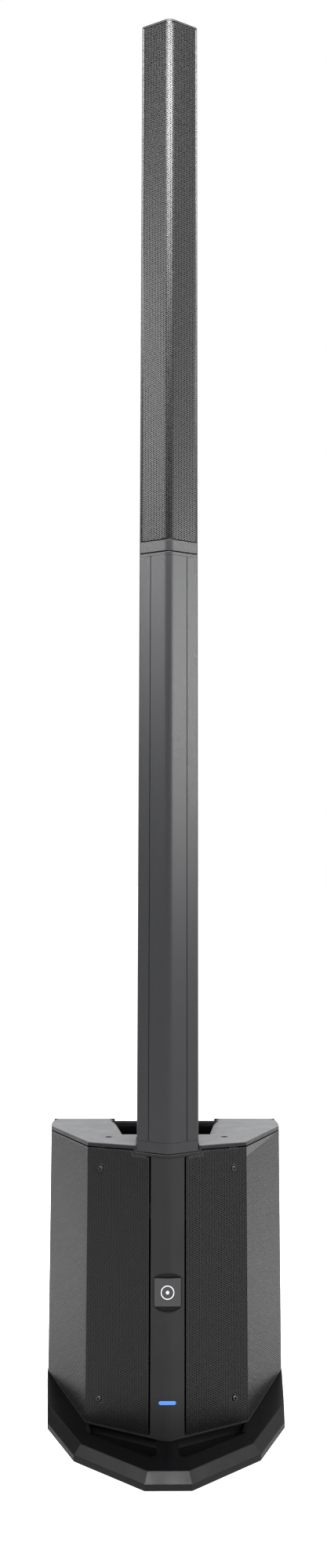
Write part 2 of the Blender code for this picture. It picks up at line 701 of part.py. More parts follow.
def slot_outline(width, height, steps=6):
    """A lying slot with round ends, as (x, z) about its middle."""
    radius = height / 2
    points = []
    for side, start in ((1, -90), (-1, 90)):
        for step in range(steps + 1):
            angle = math.radians(start + 180 * step / steps)
            points.append((side * (width / 2 - radius) + radius * math.cos(angle), radius * math.sin(angle)))
    return points


def light_prism(grow):
    """The slot of the light: its outline drawn out from ahead of the ridge to the spine's back."""
    outline = slot_outline(LED_WIDTH + 2 * grow, LED_HEIGHT + 2 * grow)
    bm = prism_bmesh(outline, -0.02, SPINE_BACK - 0.003 + grow)
    bmesh.ops.rotate(bm, verts=bm.verts, matrix=Matrix.Rotation(-math.radians(90), 3, "X"))
    return finish_mesh(bm, "light")


def make_spine(parent, materials):
    outline = v_outline(SPINE_HALF, SPINE_BACK)
    mesh = prism("front_spine", outline, PLATE_TOP + GAP, FRAME_LOW - GAP)
    spine = put("front_spine", mesh, materials["spine"], parent)
    cut(spine, rod("dish", DISH_RADIUS, -DISH_DEPTH, 0.02, 48), (0, 0, BADGE_Z), TO_FRONT)
    place, turn = (0, 0, LED_Z), (-LED_TILT, 0, 0)
    cut(spine, light_prism(GAP), place, turn)
    cut(spine, rod("badge_bore", 0.004 + 2 * GAP, -0.02, 0), (0, 0, BADGE_Z), TO_FRONT)

    lens = put("led_lens", light_prism(0.0), materials["light"], parent, place, turn)
    trim = prism("lens_front", v_outline(SPINE_HALF, SPINE_BACK + 0.01, -GAP), LED_Z - 0.02, LED_Z + 0.02)
    boolean(lens, put("cutter", trim, None, parent), "INTERSECT")


def make_badge(parent, materials):
    """A square plate on a short pivot, free to turn in its dish."""
    half = BADGE_SIZE / 2
    plate = block_bmesh((-half, -half, -BADGE_THICKNESS), (half, half, 0))
    corners = [e for e in plate.edges if abs(e.verts[0].co.z - e.verts[1].co.z) > BADGE_THICKNESS / 2]
    bmesh.ops.bevel(plate, geom=corners, offset=0.0012, segments=3, profile=0.5, affect="EDGES")
    round_edges(plate, level_edge(0.0), 0.0004)
    mesh = finish_mesh(plate, "badge")
    badge = put("badge", mesh, materials["spine"], parent, (0, BADGE_FRONT, BADGE_Z), TO_FRONT)
    pivot = rod("pivot", 0.004, -(SPINE_BACK - BADGE_FRONT), -BADGE_THICKNESS / 2)
    add(badge, pivot, (0, BADGE_FRONT, BADGE_Z), TO_FRONT)


def make_grille(parent, materials, side, name):
    """One folded sheet over an inner face and a flank, with both ends turned in."""
    start = SPINE_HALF + SPINE_SLOT
    end_y = FLANK_Y - FLANGE - GAP
    pull = SHEET * math.tan((FLANK_ANGLE - FACE_ANGLE) / 2)
    along = (math.cos(FACE_ANGLE), math.sin(FACE_ANGLE))
    inward = (-math.sin(FACE_ANGLE), math.cos(FACE_ANGLE))
    inner_corner = (
        CORNER_HALF + inward[0] * SHEET - along[0] * pull,
        CORNER_Y + inward[1] * SHEET - along[1] * pull,
    )
    fold = (start + SHEET, face_y(start + SHEET, SHEET))
    flank_in = SHEET / math.sin(FLANK_ANGLE)
    end = (flank_x(end_y), end_y)
    back = face_y(start) + GRILLE_FOLD
    outline = [(start, back), (start, face_y(start)), (CORNER_HALF, CORNER_Y), end]
    outline += [(end[0] - GRILLE_FOLD * 0.9, end[1]), (end[0] - GRILLE_FOLD * 0.9, end[1] - SHEET)]
    outline += [(flank_x(end_y - SHEET) - flank_in, end_y - SHEET), inner_corner, fold, (fold[0], back)]
    bm = prism_bmesh([(side * x, y) for x, y in outline], PLATE_TOP + GAP, BOX_TOP)
    slice_off(bm, (0, 0, BOX_TOP - COVER_THICKNESS - GRILLE_SLOT), TOP_NORMAL)
    grille = put(name, finish_mesh(bm, name), materials["grille"], parent)
    step_half = FRAME_HALF + GRILLE_SLOT
    low, high = sorted((0, side * step_half))
    cut(grille, block("step", (low, -0.02, FRAME_LOW - GRILLE_SLOT), (high, 0.08, BOX_TOP)))
    for z in (SCREW_LOW, SCREW_HIGH):
        location, rotation, _ = face_frame(side, SCREW_X, z)
        cut(grille, rod("screw_hole", SCREW_HEAD + 2 * GAP, -0.004, 0.004, COARSE), location, rotation)


def make_grille_screws(parent, materials):
    head = -SHEET
    profile = [(0, -0.0085), (SCREW_SHANK, -0.0085), (SCREW_SHANK, head), (SCREW_HEAD, head)]
    profile += [(SCREW_HEAD, head + 0.0014), (SCREW_HEAD * 0.72, head + 0.0026), (0.0017, head + 0.0028)]
    profile += [(0.0017, head + 0.0010), (0, head + 0.0010)]
    mesh = turned("grille_screw", profile, COARSE)
    for side, across in ((-1, "left"), (1, "right")):
        for z, level in ((SCREW_LOW, "low"), (SCREW_HIGH, "high")):
            location, rotation, _ = face_frame(side, SCREW_X, z)
            put("grille_screw_%s_%s" % (across, level), mesh, materials["screw"], parent, location, rotation)


# ---------------------------------------------------------------- woofer


def make_woofer(parent, materials):
    """Basket with its magnet, a rubber surround and a cone that rides on its voice coil. +Z is forward."""
    place = (0, BOARD_Y - GAP, WOOFER_Z)
    flange, seat, neck = 0.005, WOOFER_OPENING - 0.002, 0.052
    back = -WOOFER_DEPTH
    magnet, rim = 0.062, WOOFER_OPENING + WOOFER_FLANGE
    profile = [(WOOFER_CONE + 0.006, flange), (rim, flange), (rim, 0), (seat, 0)]
    profile += [(seat, -0.016), (neck + 0.003, -0.062), (magnet, -0.062), (magnet, back), (0, back)]
    profile += [(0, -0.078), (0.021, -0.078), (0.021, -0.059), (neck, -0.059), (seat - 0.003, -0.014)]
    profile += [(seat - 0.003, -0.002), (WOOFER_CONE + 0.006, -0.002)]
    mesh = turned("woofer_basket", profile, FINE, closed=True)
    basket = put("woofer_basket", mesh, materials["screw"], parent, place, TO_FRONT)
    for step in range(4):
        angle = math.radians(45 + 90 * step)
        low, high = (0.070, -0.020, -0.052), (0.14, 0.020, -0.022)
        bm = block_bmesh(low, high)
        bmesh.ops.rotate(bm, verts=bm.verts, matrix=Matrix.Rotation(angle, 3, "Z"))
        cut(basket, finish_mesh(bm, "window"), place, TO_FRONT)

    inner, outer, rise = WOOFER_CONE + GAP, WOOFER_CONE + 0.006 - GAP, 0.0035
    middle, half = (inner + outer) / 2, (outer - inner) / 2
    surround = [(outer, -0.001), (inner, -0.001)]
    for step in range(5):
        angle = math.pi * step / 4
        surround.append((middle - half * math.cos(angle), 0.001 + rise * math.sin(angle)))
    mesh = turned("woofer_surround", surround, FINE, closed=True)
    put("woofer_surround", mesh, materials["rubber"], parent, place, TO_FRONT)

    coil = 0.0195
    cone = [(0, -0.0275), (0.010, -0.0285), (0.020, -0.0315), (0.0285, -0.0365), (WOOFER_CONE, 0.0)]
    cone += [(WOOFER_CONE, -0.0016), (coil, -0.0450), (coil, -0.0700), (coil - 0.0012, -0.0700)]
    cone += [(coil - 0.0012, -0.0440), (0, -0.0440)]
    put("woofer_cone", turned("woofer_cone", cone, FINE), materials["paper"], parent, place, TO_FRONT)


# ---------------------------------------------------------------- control panel


def panel_hole(panel, mesh, x, z):
    cut(panel, mesh, (x, PANEL_FRONT, z), TO_REAR)


def make_panel(parent, materials):
    grow = PANEL_OVERLAP
    low = (-WINDOW_HALF - grow, PANEL_FRONT, WINDOW_LOW - grow)
    high = (WINDOW_HALF + grow, PANEL_BACK, WINDOW_HIGH + grow)
    panel = put("control_panel", block("control_panel", low, high), materials["dark"], parent)
    for x in KNOB_XS:
        panel_hole(panel, rod("hole", KNOB_SHAFT + 2 * GAP, -0.01, 0.01, COARSE), x, KNOB_Z)
    panel_hole(panel, rod("hole", BUTTON_RADIUS + 2 * GAP, -0.01, 0.01, COARSE), 0, BUTTON_Z)
    for x in JACK_XS:
        panel_hole(panel, rod("hole", JACK_RADIUS + 2 * GAP, -0.01, 0.01), x, JACK_Z)
    reach = math.hypot(SWITCH_REACH, SWITCH_RISE) + GAP
    half = SWITCH_HALF_X + GAP
    panel_hole(panel, block("hole", (-half, -reach, -0.01), (half, reach, 0.01)), SWITCH_X, SWITCH_Z)
    half_x, half_z = INLET_WIDTH / 2 + GAP, INLET_HEIGHT / 2 + GAP
    panel_hole(panel, block("hole", (-half_x, -half_z, -0.01), (half_x, half_z, 0.01)), INLET_X, SWITCH_Z)


def make_knobs(parent, materials):
    top, side = KNOB_HEIGHT, KNOB_RADIUS
    profile = [(0, -0.012), (KNOB_SHAFT, -0.012), (KNOB_SHAFT, 0.0005), (side, 0.0005), (side, 0.003)]
    profile += [(side * 0.88, 0.0042), (side * 0.82, top - 0.001), (side * 0.74, top), (0, top)]
    mesh = turned("knob", profile, MEDIUM)
    for number, x in enumerate(KNOB_XS, 1):
        place = (x, PANEL_BACK, KNOB_Z)
        knob = put("level_knob_%d" % number, mesh, materials["rubber"], parent, place, TO_REAR)
        pointer = block("pointer", (-0.0008, -side * 0.70, top - 0.001), (0.0008, -side * 0.15, top + 0.0006))
        add(knob, pointer, (x, PANEL_BACK, KNOB_Z), TO_REAR)


def make_button(parent, materials):
    radius = BUTTON_RADIUS
    profile = [(0, -0.006), (radius, -0.006), (radius, 0.0022), (radius * 0.8, 0.0030), (0, 0.0030)]
    mesh = turned("pair_button", profile, MEDIUM)
    put("pair_button", mesh, materials["rubber"], parent, (0, PANEL_BACK, BUTTON_Z), TO_REAR)


def make_jacks(parent, materials):
    """Each socket takes a round three-pin plug in its recess or a straight jack plug in its middle."""
    radius, rim = JACK_RADIUS, JACK_RADIUS + 0.0020
    profile = [(0, -0.024), (radius, -0.024), (radius, GAP), (rim, GAP), (rim, 0.0013)]
    profile += [(rim - 0.0008, 0.0020)]
    profile += [(0.0096, 0.0020), (0.0096, -0.0100), (0.0035, -0.0100), (0.0035, -0.0200), (0, -0.0200)]
    mesh = turned("combo_jack", profile, MEDIUM)
    for number, x in enumerate(JACK_XS, 1):
        put("combo_jack_%d" % number, mesh, materials["dark"], parent, (x, PANEL_BACK, JACK_Z), TO_REAR)


def make_power_switch(parent, materials):
    """A rocker whose hidden side is an arc about its pivot. It rests pressed in at the bottom."""
    radius = math.hypot(SWITCH_REACH, SWITCH_RISE)
    start = math.pi - math.atan2(SWITCH_RISE, SWITCH_REACH)
    sweep = 3 * math.pi - 2 * start
    outline = [(SWITCH_REACH, SWITCH_RISE), (0, SWITCH_DIP), (-SWITCH_REACH, SWITCH_RISE)]
    for step in range(1, 10):
        angle = start + sweep * step / 10
        outline.append((radius * math.cos(angle), radius * math.sin(angle)))
    bm = prism_bmesh(outline, -SWITCH_HALF_X, SWITCH_HALF_X)
    upright = Matrix(((0, 0, 1), (0, 1, 0), (1, 0, 0)))  # the outline's length runs up, its face looks back
    bmesh.ops.transform(bm, matrix=upright.to_4x4(), verts=bm.verts)
    mesh = finish_mesh(bm, "power_switch")
    place = (SWITCH_X, PANEL_BACK, SWITCH_Z)
    put("power_switch", mesh, materials["dark"], parent, place, (-SWITCH_TILT, 0, 0))


def make_inlet(parent, materials):
    """A three-pin mains inlet, open to the rear."""
    half_x, half_z = INLET_WIDTH / 2, INLET_HEIGHT / 2
    place = (INLET_X, PANEL_BACK, SWITCH_Z)
    body = block("mains_inlet", (-half_x, -half_z, -0.022), (half_x, half_z, 0.001))
    inlet = put("mains_inlet", body, materials["dark"], parent, place, TO_REAR)
    rim = block("rim", (-half_x - 0.002, -half_z - 0.002, GAP), (half_x + 0.002, half_z + 0.002, 0.0022))
    add(inlet, rim, place, TO_REAR)
    wall = 0.0018
    room_x, room_z = half_x - wall, half_z - wall
    outline = [(-room_x, -room_z), (room_x, -room_z), (room_x, room_z - 0.004), (room_x - 0.004, room_z)]
    outline += [(-room_x + 0.004, room_z), (-room_x, room_z - 0.004)]
    cut(inlet, prism("plug_room", outline, -0.018, 0.02), place, TO_REAR)
    for x, z in ((-0.007, -0.0015), (0.0, 0.0025), (0.007, -0.0015)):
        pin = block("pin", (x - 0.001, z - 0.002, -0.019), (x + 0.001, z + 0.002, -0.006))
        add(inlet, pin, place, TO_REAR)


def make_electronics(parent, materials):
    back = PANEL_FRONT - 0.0140
    half = WINDOW_HALF - 0.012
    low, high = (-half, back - 0.0016, KNOB_Z - 0.050), (half, back, WINDOW_HIGH)
    put("mixer_board", block("mixer_board", low, high), materials["circuit"], parent)
    fins, pitch, thick, base = 9, 0.018, 0.0022, 0.005
    front, depth = back - 0.014, 0.032
    half = (fins - 1) * pitch / 2 + thick / 2
    outline = [(-half, front), (half, front)]
    for step in range(fins):
        right = half - step * pitch
        outline += [(right, front - depth), (right - thick, front - depth)]
        if step < fins - 1:
            outline += [(right - thick, front - base), (right - pitch, front - base)]
    put("amp_heatsink", prism("amp_heatsink", outline, 0.190, 0.280), materials["metal"], parent)


# ---------------------------------------------------------------- spacer column


def column_cap(name, low, high, rounding, at_top=True, at_bottom=True):
    """A slice of the column's section with softened ends."""
    bm = prism_bmesh(column_outline(), low, high)
    if at_top:
        round_edges(bm, level_edge(high), rounding)
    if at_bottom:
        round_edges(bm, level_edge(low), rounding)
    return finish_mesh(bm, name)


def add_spigot(cap):
    """The square tongue under a cap, with chamfered lead-in corners."""
    low, high = spigot_box(0.0, -SPIGOT_LENGTH, 0.002)
    bm = block_bmesh(low, high)
    round_edges(bm, level_edge(-SPIGOT_LENGTH), 0.002, 1)
    add(cap, finish_mesh(bm, "spigot"))


def make_spacer(parent, materials):
    foot_cap = column_cap("spacer_foot_cap", 0, SPACER_FOOT_CAP, 0.0006, at_top=False)
    add_spigot(put("spacer_foot_cap", foot_cap, materials["column"], parent))

    low, high = SPACER_FOOT_CAP + GAP, SPACER_LENGTH - SPACER_HEAD_CAP - GAP
    mesh = prism("spacer_tube", column_outline(grooves=True), low, high)
    tube = put("spacer_tube", mesh, materials["column"], parent)
    cut(tube, prism("tube_room", column_outline(COLUMN_WALL), low - 0.02, high + 0.02))

    head_mesh = column_cap("spacer_head_cap", high + GAP, SPACER_LENGTH, 0.0006, at_bottom=False)
    head = put("spacer_head_cap", head_mesh, materials["column"], parent)
    floor = SPACER_LENGTH + JOINT_GAP - SPIGOT_LENGTH - CONTACT_HEIGHT - 3 * GAP
    add(head, block("cup", *spigot_box(GAP + SOCKET_WALL, floor - SOCKET_WALL, high + 0.002)))
    cut(head, block("cup_room", *spigot_box(GAP, floor, SPACER_LENGTH + 0.02)))
    put_contacts("joint_contacts", parent, materials, floor + GAP)
    make_lead(parent, materials, SPACER_FOOT_CAP + GAP, floor - SOCKET_WALL - GAP)


def make_lead(parent, materials, low, high):
    """The speaker lead inside the spacer, in one slow S between its two ends."""
    curve = bpy.data.curves.new("spacer_lead", "CURVE")
    curve.dimensions = "3D"
    curve.bevel_depth = LEAD_RADIUS
    curve.bevel_resolution = 2
    curve.use_fill_caps = True
    count = 14
    spline = curve.splines.new("POLY")
    spline.points.add(count - 1)
    for step, point in enumerate(spline.points):
        share = step / (count - 1)
        sway = 0.007 * math.sin(2 * math.pi * share) * math.sin(math.pi * share)
        point.co = (sway, SPIGOT_MIDDLE + sway * 0.6, low + (high - low) * share, 1)
    curve.materials.append(materials["rubber"])
    lead = bpy.data.objects.new("spacer_lead", curve)
    bpy.context.scene.collection.objects.link(lead)
    lead.parent = parent


# ---------------------------------------------------------------- array column


def array_body_outline():
    """The array's rear shell in plan: a deep channel, open to the front."""
    outer = [point for point in column_outline() if point[1] > face_y(COLUMN_HALF) - 0.002]
    right = [point for point in outer if point[0] > 0]
    inner_half, inner_back = COLUMN_HALF - ARRAY_MARGIN, COLUMN_DEPTH - COLUMN_WALL
    front = face_y(COLUMN_HALF) - 0.0006
    right = [(inner_half, front)] + right
    left = [(-x, y) for x, y in reversed(right)]
    inner_radius = COLUMN_REAR_RADIUS - COLUMN_WALL
    hollow = []
    for step in range(5):
        angle = math.radians(90) * step / 4
        hollow.append((
            inner_half - inner_radius + inner_radius * math.cos(angle),
            inner_back - inner_radius + inner_radius * math.sin(angle),
        ))
    hollow = [(-x, y) for x, y in hollow] + list(reversed(hollow))
    return right + left + hollow


def array_half():
    """Half the width of what fits between the array body's sides."""
    return COLUMN_HALF - ARRAY_MARGIN - GAP


def baffle_y():
    return face_y(array_half()) + ARRAY_FOLD + BAFFLE_CLEARANCE


def make_array(parent, materials):
    foot_cap = column_cap("array_foot_cap", 0, ARRAY_FOOT_CAP, 0.0006)
    add_spigot(put("array_foot_cap", foot_cap, materials["column"], parent))
    low, high = ARRAY_FOOT_CAP + GAP, ARRAY_LENGTH - ARRAY_HEAD_CAP - GAP
    put("array_body", prism("array_body", array_body_outline(), low, high), materials["column"], parent)

    head = prism_bmesh(column_outline(), ARRAY_LENGTH - ARRAY_HEAD_CAP, ARRAY_LENGTH)
    round_edges(head, level_edge(ARRAY_LENGTH), 0.0026, 4)
    put("array_head_cap", finish_mesh(head, "array_head_cap"), materials["column"], parent)

    make_array_grille(parent, materials, low + ARRAY_SHADOW, high - ARRAY_SHADOW)
    half, front = array_half(), baffle_y()
    mesh = block("array_baffle", (-half, front, low + 0.002), (half, front + BAFFLE_THICKNESS, high - 0.002))
    baffle = put("array_baffle", mesh, materials["board"], parent)
    pitch = (high - low) / DRIVER_COUNT
    for number in range(DRIVER_COUNT):
        z = low + (number + 0.5) * pitch
        cut(baffle, rod("hole", DRIVER_OPENING, -0.03, 0.03, COARSE), (0, front, z), TO_FRONT)
        make_driver(parent, materials, number + 1, z)


def make_array_grille(parent, materials, low, high):
    """The folded front sheet, with its edges turned back along the shell's inside."""
    half = array_half()
    back = face_y(half) + ARRAY_FOLD
    front = [point for point in ridge_arc() if point[0] > -1e-9] + [(half, face_y(half)), (half, back)]
    inner_half = half - SHEET
    behind = [point for point in ridge_arc(SHEET) if point[0] > -1e-9]
    behind += [(inner_half, face_y(inner_half, SHEET)), (inner_half, back)]
    left_front = [(-x, y) for x, y in reversed(front) if x > 1e-9]
    left_behind = [(-x, y) for x, y in behind if x > 1e-9]
    outline = front + list(reversed(behind)) + left_behind + left_front
    put("array_grille", prism("array_grille", outline, low, high), materials["grille"], parent)


def make_driver(parent, materials, number, z):
    """A small driver: basket and magnet in one, and its cone. +Z is forward."""
    place = (0, baffle_y() - GAP, z)
    seat, back, rim = DRIVER_OPENING - 2 * GAP, -DRIVER_DEPTH, DRIVER_OPENING + DRIVER_FLANGE
    frame = [(DRIVER_CONE + 0.0025, 0.0025), (rim, 0.0025), (rim, 0), (seat, 0)]
    frame += [(seat, -0.006), (0.019, -0.022), (0.019, back), (0, back), (0, -0.031), (0.0085, -0.031)]
    frame += [(0.0085, -0.020), (0.0165, -0.020), (DRIVER_CONE + 0.0025, -0.004)]
    mesh = turned("driver_frame", frame, COARSE, closed=True)
    put("driver_frame_%d" % number, mesh, materials["screw"], parent, place, TO_FRONT)
    edge = DRIVER_CONE + 0.0025 - GAP
    fold = DRIVER_CONE - 0.003
    cone = [(0, -0.0045), (0.0050, -0.0055), (0.0090, -0.0090), (fold, -0.0005), (DRIVER_CONE, 0.0012)]
    cone += [(edge, 0.0002), (fold, -0.0018), (0.0076, -0.0130), (0.0076, -0.0250), (0, -0.0250)]
    mesh = turned("driver_cone", cone, COARSE)
    put("driver_cone_%d" % number, mesh, materials["paper"], parent, place, TO_FRONT)


# ---------------------------------------------------------------- assembly


def main():
    clear_scene()
    materials = make_materials()
    origin = empty("pa_system", None, (0, RIDGE_Y, 0))
    make_foot(origin, materials)
    make_rubber_feet(origin, materials)
    make_cabinet_shell(origin, materials)
    make_baffle_board(origin, materials)
    make_top_cover(origin, materials)
    make_cover_screws(origin, materials)
    make_handle(origin, materials)
    make_column_socket(origin, materials)
    make_spine(origin, materials)
    make_badge(origin, materials)
    make_grille(origin, materials, -1, "grille_left")
    make_grille(origin, materials, 1, "grille_right")
    make_grille_screws(origin, materials)
    make_woofer(origin, materials)
    make_panel(origin, materials)
    make_knobs(origin, materials)
    make_button(origin, materials)
    make_jacks(origin, materials)
    make_power_switch(origin, materials)
    make_inlet(origin, materials)
    make_electronics(origin, materials)
    make_spacer(empty("spacer", origin, (0, 0, SPACER_Z)), materials)
    make_array(empty("array", origin, (0, 0, ARRAY_Z)), materials)


main()
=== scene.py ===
"""Looks for the column PA system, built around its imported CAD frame.

Metres, +Z up, the front faces -Y. The perforated sheets, the screws' heads, the printed marks and
every material are made here. All other shapes come from the frame and only get their materials.
"""

import bisect
import json
import math

import bmesh
import bpy
import numpy as np
from mathutils import Matrix, Vector
from mathutils.geometry import delaunay_2d_cdt


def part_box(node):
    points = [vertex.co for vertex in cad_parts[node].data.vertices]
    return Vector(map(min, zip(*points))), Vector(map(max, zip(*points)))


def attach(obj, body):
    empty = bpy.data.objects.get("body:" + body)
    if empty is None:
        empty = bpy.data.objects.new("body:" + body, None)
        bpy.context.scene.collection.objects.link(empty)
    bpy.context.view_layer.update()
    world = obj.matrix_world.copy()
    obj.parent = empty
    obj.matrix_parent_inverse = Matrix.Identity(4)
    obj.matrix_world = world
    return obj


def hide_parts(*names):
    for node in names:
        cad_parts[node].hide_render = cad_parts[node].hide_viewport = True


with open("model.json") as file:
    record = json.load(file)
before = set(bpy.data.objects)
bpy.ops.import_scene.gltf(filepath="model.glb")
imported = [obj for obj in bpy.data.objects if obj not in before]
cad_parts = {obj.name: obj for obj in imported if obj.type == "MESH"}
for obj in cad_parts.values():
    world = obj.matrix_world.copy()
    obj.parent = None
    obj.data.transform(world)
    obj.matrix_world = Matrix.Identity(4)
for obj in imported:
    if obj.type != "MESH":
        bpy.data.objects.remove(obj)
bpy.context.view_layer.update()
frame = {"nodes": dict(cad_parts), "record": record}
nodes = frame["nodes"]

# The perforations: flat-bottomed pits in staggered columns.
HOLE_RADIUS = 0.00105  # to a corner
HOLE_PITCH = 0.0030  # between the middles of neighbours
HOLE_DEPTH = 0.0007
HOLE_SIDES = 6
HOLE_MARGIN = 0.00128  # least distance from a hole's middle to the sheet's edge
# Each screw presses the sheet in: fully inside the inner radius, not at all outside the outer one.
DIMPLE_INNER = 0.0042
DIMPLE_OUTER = 0.0095
DIMPLE_DEPTH = 0.00062
# How far the sheets' faces turn away from straight ahead.
SLANT = math.radians(25.3)  # the faces beside the ridge
FLANK_SLANT = math.radians(67.8)  # the box's flanks
SLANT_SLACK = math.radians(1.5)  # how far a face may be from these
UPRIGHT_SLACK = 0.01  # most that an upright face's normal may rise or fall
# The triangulation of a sheet.
INSIDE_ONLY = 1
CLOSEST_POINTS = 1e-7
WELD = 1e-6
# A sheet's screw. Heights are from the top of its head, and the crown is a quarter of an ellipse.
SHANK_RADIUS = 0.0018
SHANK_TOP = -0.0029
HEAD_RADIUS = 0.0038
HEAD_UNDERSIDE = -0.0028
CROWN_START = 0.0026
CROWN_WIDTH = 0.0012
CROWN_HEIGHT = 0.0019
CROWN_ANGLES = (20, 40, 60, 78)
HEAD_FLAT = 0.0021
SOCKET_MOUTH, SOCKET_MOUTH_Z = 0.00145, -0.00015
SOCKET_FLOOR, SOCKET_FLOOR_Z = 0.00135, -0.0017
ROUND_SIDES = 36
# The sign on the plate.
BADGE_HEIGHT = 0.2035
SIGN_RING = (0.0078, 0.0090)
SIGN_DOT = 0.0022
SIGN_BOTTOM, SIGN_TOP = 0.00002, 0.00012  # above the plate's face
# The ticks round a knob.
TICKS = 11
TICK_FIRST, TICK_STEP = -150, 30  # degrees
LONG_TICKS = (0, 5, 10)
TICK_LONG, TICK_SHORT = 0.0030, 0.0018
TICK_WIDTH, TICK_THICKNESS = 0.0005, 0.00008
TICK_LIFT = 0.00007  # of a tick's middle above the panel
TICK_RADIUS = 0.0106  # to a tick's inner end
# The floor.
FLOOR_HALF = 40.0
FLOOR_TONE = 0.90
FLOOR_AS_LIGHT = 0.40  # how pale the floor is to everything but the eye

# ---------------------------------------------------------------- materials


def remap(tree, source, inside, result):
    """Spreads what lies in the first range over the second."""
    node = tree.nodes.new("ShaderNodeMapRange")
    for name, value in zip(("From Min", "From Max", "To Min", "To Max"), (*inside, *result)):
        node.inputs[name].default_value = value
    tree.links.new(source, node.inputs["Value"])
    return node.outputs["Result"]


class Nodes:
    """A material's node tree, its Principled shader, and short calls for the recipes below."""

    def __init__(self, name, colour, roughness, metallic=0.0, specular=0.5):
        self.material = bpy.data.materials.new(name)
        self.material.use_nodes = True
        self.tree = self.material.node_tree
        self.shader = self.tree.nodes["Principled BSDF"]
        self.shader.inputs["Base Color"].default_value = (*colour, 1.0)
        self.shader.inputs["Roughness"].default_value = roughness
        self.shader.inputs["Metallic"].default_value = metallic
        self.shader.inputs["Specular IOR Level"].default_value = specular
        self.colour = colour
        self.roughness = roughness
        self.normal = None

    def add(self, kind, **inputs):
        node = self.tree.nodes.new(kind)
        for name, value in inputs.items():
            node.inputs[name.replace("_", " ")].default_value = value
        return node

    def link(self, source, target):
        self.tree.links.new(source, target)

    def place(self, stretch=(1, 1, 1)):
        """Object coordinates, which are metres on every piece."""
        where = self.add("ShaderNodeTexCoord").outputs["Object"]
        if stretch == (1, 1, 1):
            return where
        mapping = self.add("ShaderNodeMapping", Scale=stretch)
        self.link(where, mapping.inputs["Vector"])
        return mapping.outputs["Vector"]

    def noise(self, size, detail=3.0, stretch=(1, 1, 1)):
        noise = self.add("ShaderNodeTexNoise", Scale=1 / size, Detail=detail)
        self.link(self.place(stretch), noise.inputs["Vector"])
        return noise.outputs["Fac"]

    def cells(self, size):
        cells = self.add("ShaderNodeTexVoronoi", Scale=1 / size)
        self.link(self.place(), cells.inputs["Vector"])
        return cells.outputs["Distance"]

    def spread(self, factor, low, high, inside=(0.35, 0.65)):
        return remap(self.tree, factor, inside, (low, high))

    def vary_roughness(self, factor, amount):
        result = self.spread(factor, self.roughness - amount, self.roughness + amount)
        self.link(result, self.shader.inputs["Roughness"])

    def vary_colour(self, factor, other):
        mix = self.add("ShaderNodeMix")
        mix.data_type = "RGBA"
        first, second = [socket for socket in mix.inputs if socket.type == "RGBA"]
        first.default_value = (*self.colour, 1.0)
        second.default_value = (*other, 1.0)
        self.link(self.spread(factor, 0.0, 1.0), mix.inputs["Factor"])
        result = [socket for socket in mix.outputs if socket.type == "RGBA"][0]
        self.link(result, self.shader.inputs["Base Color"])

    def bump(self, factor, depth, strength=1.0):
        """One more layer of relief, depth in metres."""
        bump = self.add("ShaderNodeBump", Strength=strength, Distance=depth)
        self.link(factor, bump.inputs["Height"])
        if self.normal:
            self.link(self.normal, bump.inputs["Normal"])
        self.normal = bump.outputs["Normal"]
        self.link(self.normal, self.shader.inputs["Normal"])
        return self


def moulded_plastic(name, colour, roughness, grain=0.0007, depth=0.00006, specular=0.3):
    """Moulded plastic with a spark-eroded grain and faint cloudiness."""
    made = Nodes(name, colour, roughness, specular=specular)
    made.vary_roughness(made.noise(0.03, 4), 0.05)
    made.vary_colour(made.noise(0.05, 2), [value * 1.15 for value in colour])
    made.bump(made.cells(grain), depth)
    made.bump(made.noise(0.02, 2), 0.00015, 0.4)
    return made.material


def tone_by_facing_painted_light(name, upright, flat, roughness, specular):
    """Satin moulded plastic with painted light: one tone on upright faces and another on flat ones,
    chosen by which way a face points to stand in for how the lamps fall on it.
    """
    made = Nodes(name, upright, roughness, specular=specular)
    # Painted light: faces that point up get the flat tone, and upright and downward faces get the
    # upright tone.
    split = made.add("ShaderNodeSeparateXYZ")
    made.link(made.add("ShaderNodeNewGeometry").outputs["Normal"], split.inputs["Vector"])
    made.vary_colour(split.outputs["Z"], flat)
    made.vary_roughness(made.noise(0.03, 4), 0.04)
    made.bump(made.cells(0.0006), 0.00004)
    return made.material


def powder_coat(name, colour, roughness, metallic=0.0, specular=0.5):
    """Fine powder coat: orange peel under a tight speckle."""
    made = Nodes(name, colour, roughness, metallic, specular)
    made.vary_roughness(made.noise(0.0015, 2), 0.06)
    made.vary_colour(made.noise(0.0006, 2), [value * 1.25 for value in colour])
    made.bump(made.noise(0.0009, 3), 0.00003)
    made.bump(made.noise(0.006, 2), 0.00008, 0.5)
    return made.material


def plain(name, colour, roughness, metallic=0.0, size=0.002, depth=0.00003, specular=0.3):
    """A simple finish with a little unevenness."""
    made = Nodes(name, colour, roughness, metallic, specular)
    made.vary_roughness(made.noise(size * 4), 0.06)
    made.bump(made.noise(size), depth)
    return made.material


def glowing(name, colour, strength):
    """A clear lens over a light that glows evenly."""
    made = Nodes(name, [value * 0.05 for value in colour], 0.3, specular=0.15)
    made.shader.inputs["Emission Color"].default_value = (*colour, 1.0)
    made.shader.inputs["Emission Strength"].default_value = strength
    made.vary_roughness(made.noise(0.004), 0.04)
    return made.material


def pulp(name, colour):
    """Pressed paper pulp with stray fibres."""
    made = Nodes(name, colour, 0.85)
    made.vary_colour(made.noise(0.004, 6), [value * 1.8 for value in colour])
    made.bump(made.noise(0.0012, 6), 0.0001)
    return made.material


def brushed(name, colour, roughness, stretch):
    made = Nodes(name, colour, roughness, 1.0)
    made.vary_roughness(made.noise(0.004, 3, stretch), 0.1)
    made.bump(made.noise(0.002, 3, stretch), 0.00002)
    return made.material


def dyed_board(name, colour):
    """Black-stained plywood: long grain under the stain."""
    made = Nodes(name, colour, 0.8)
    made.vary_colour(made.noise(0.003, 5, (1, 1, 0.06)), [value * 1.7 for value in colour])
    made.bump(made.noise(0.002, 5, (1, 1, 0.06)), 0.0001)
    return made.material


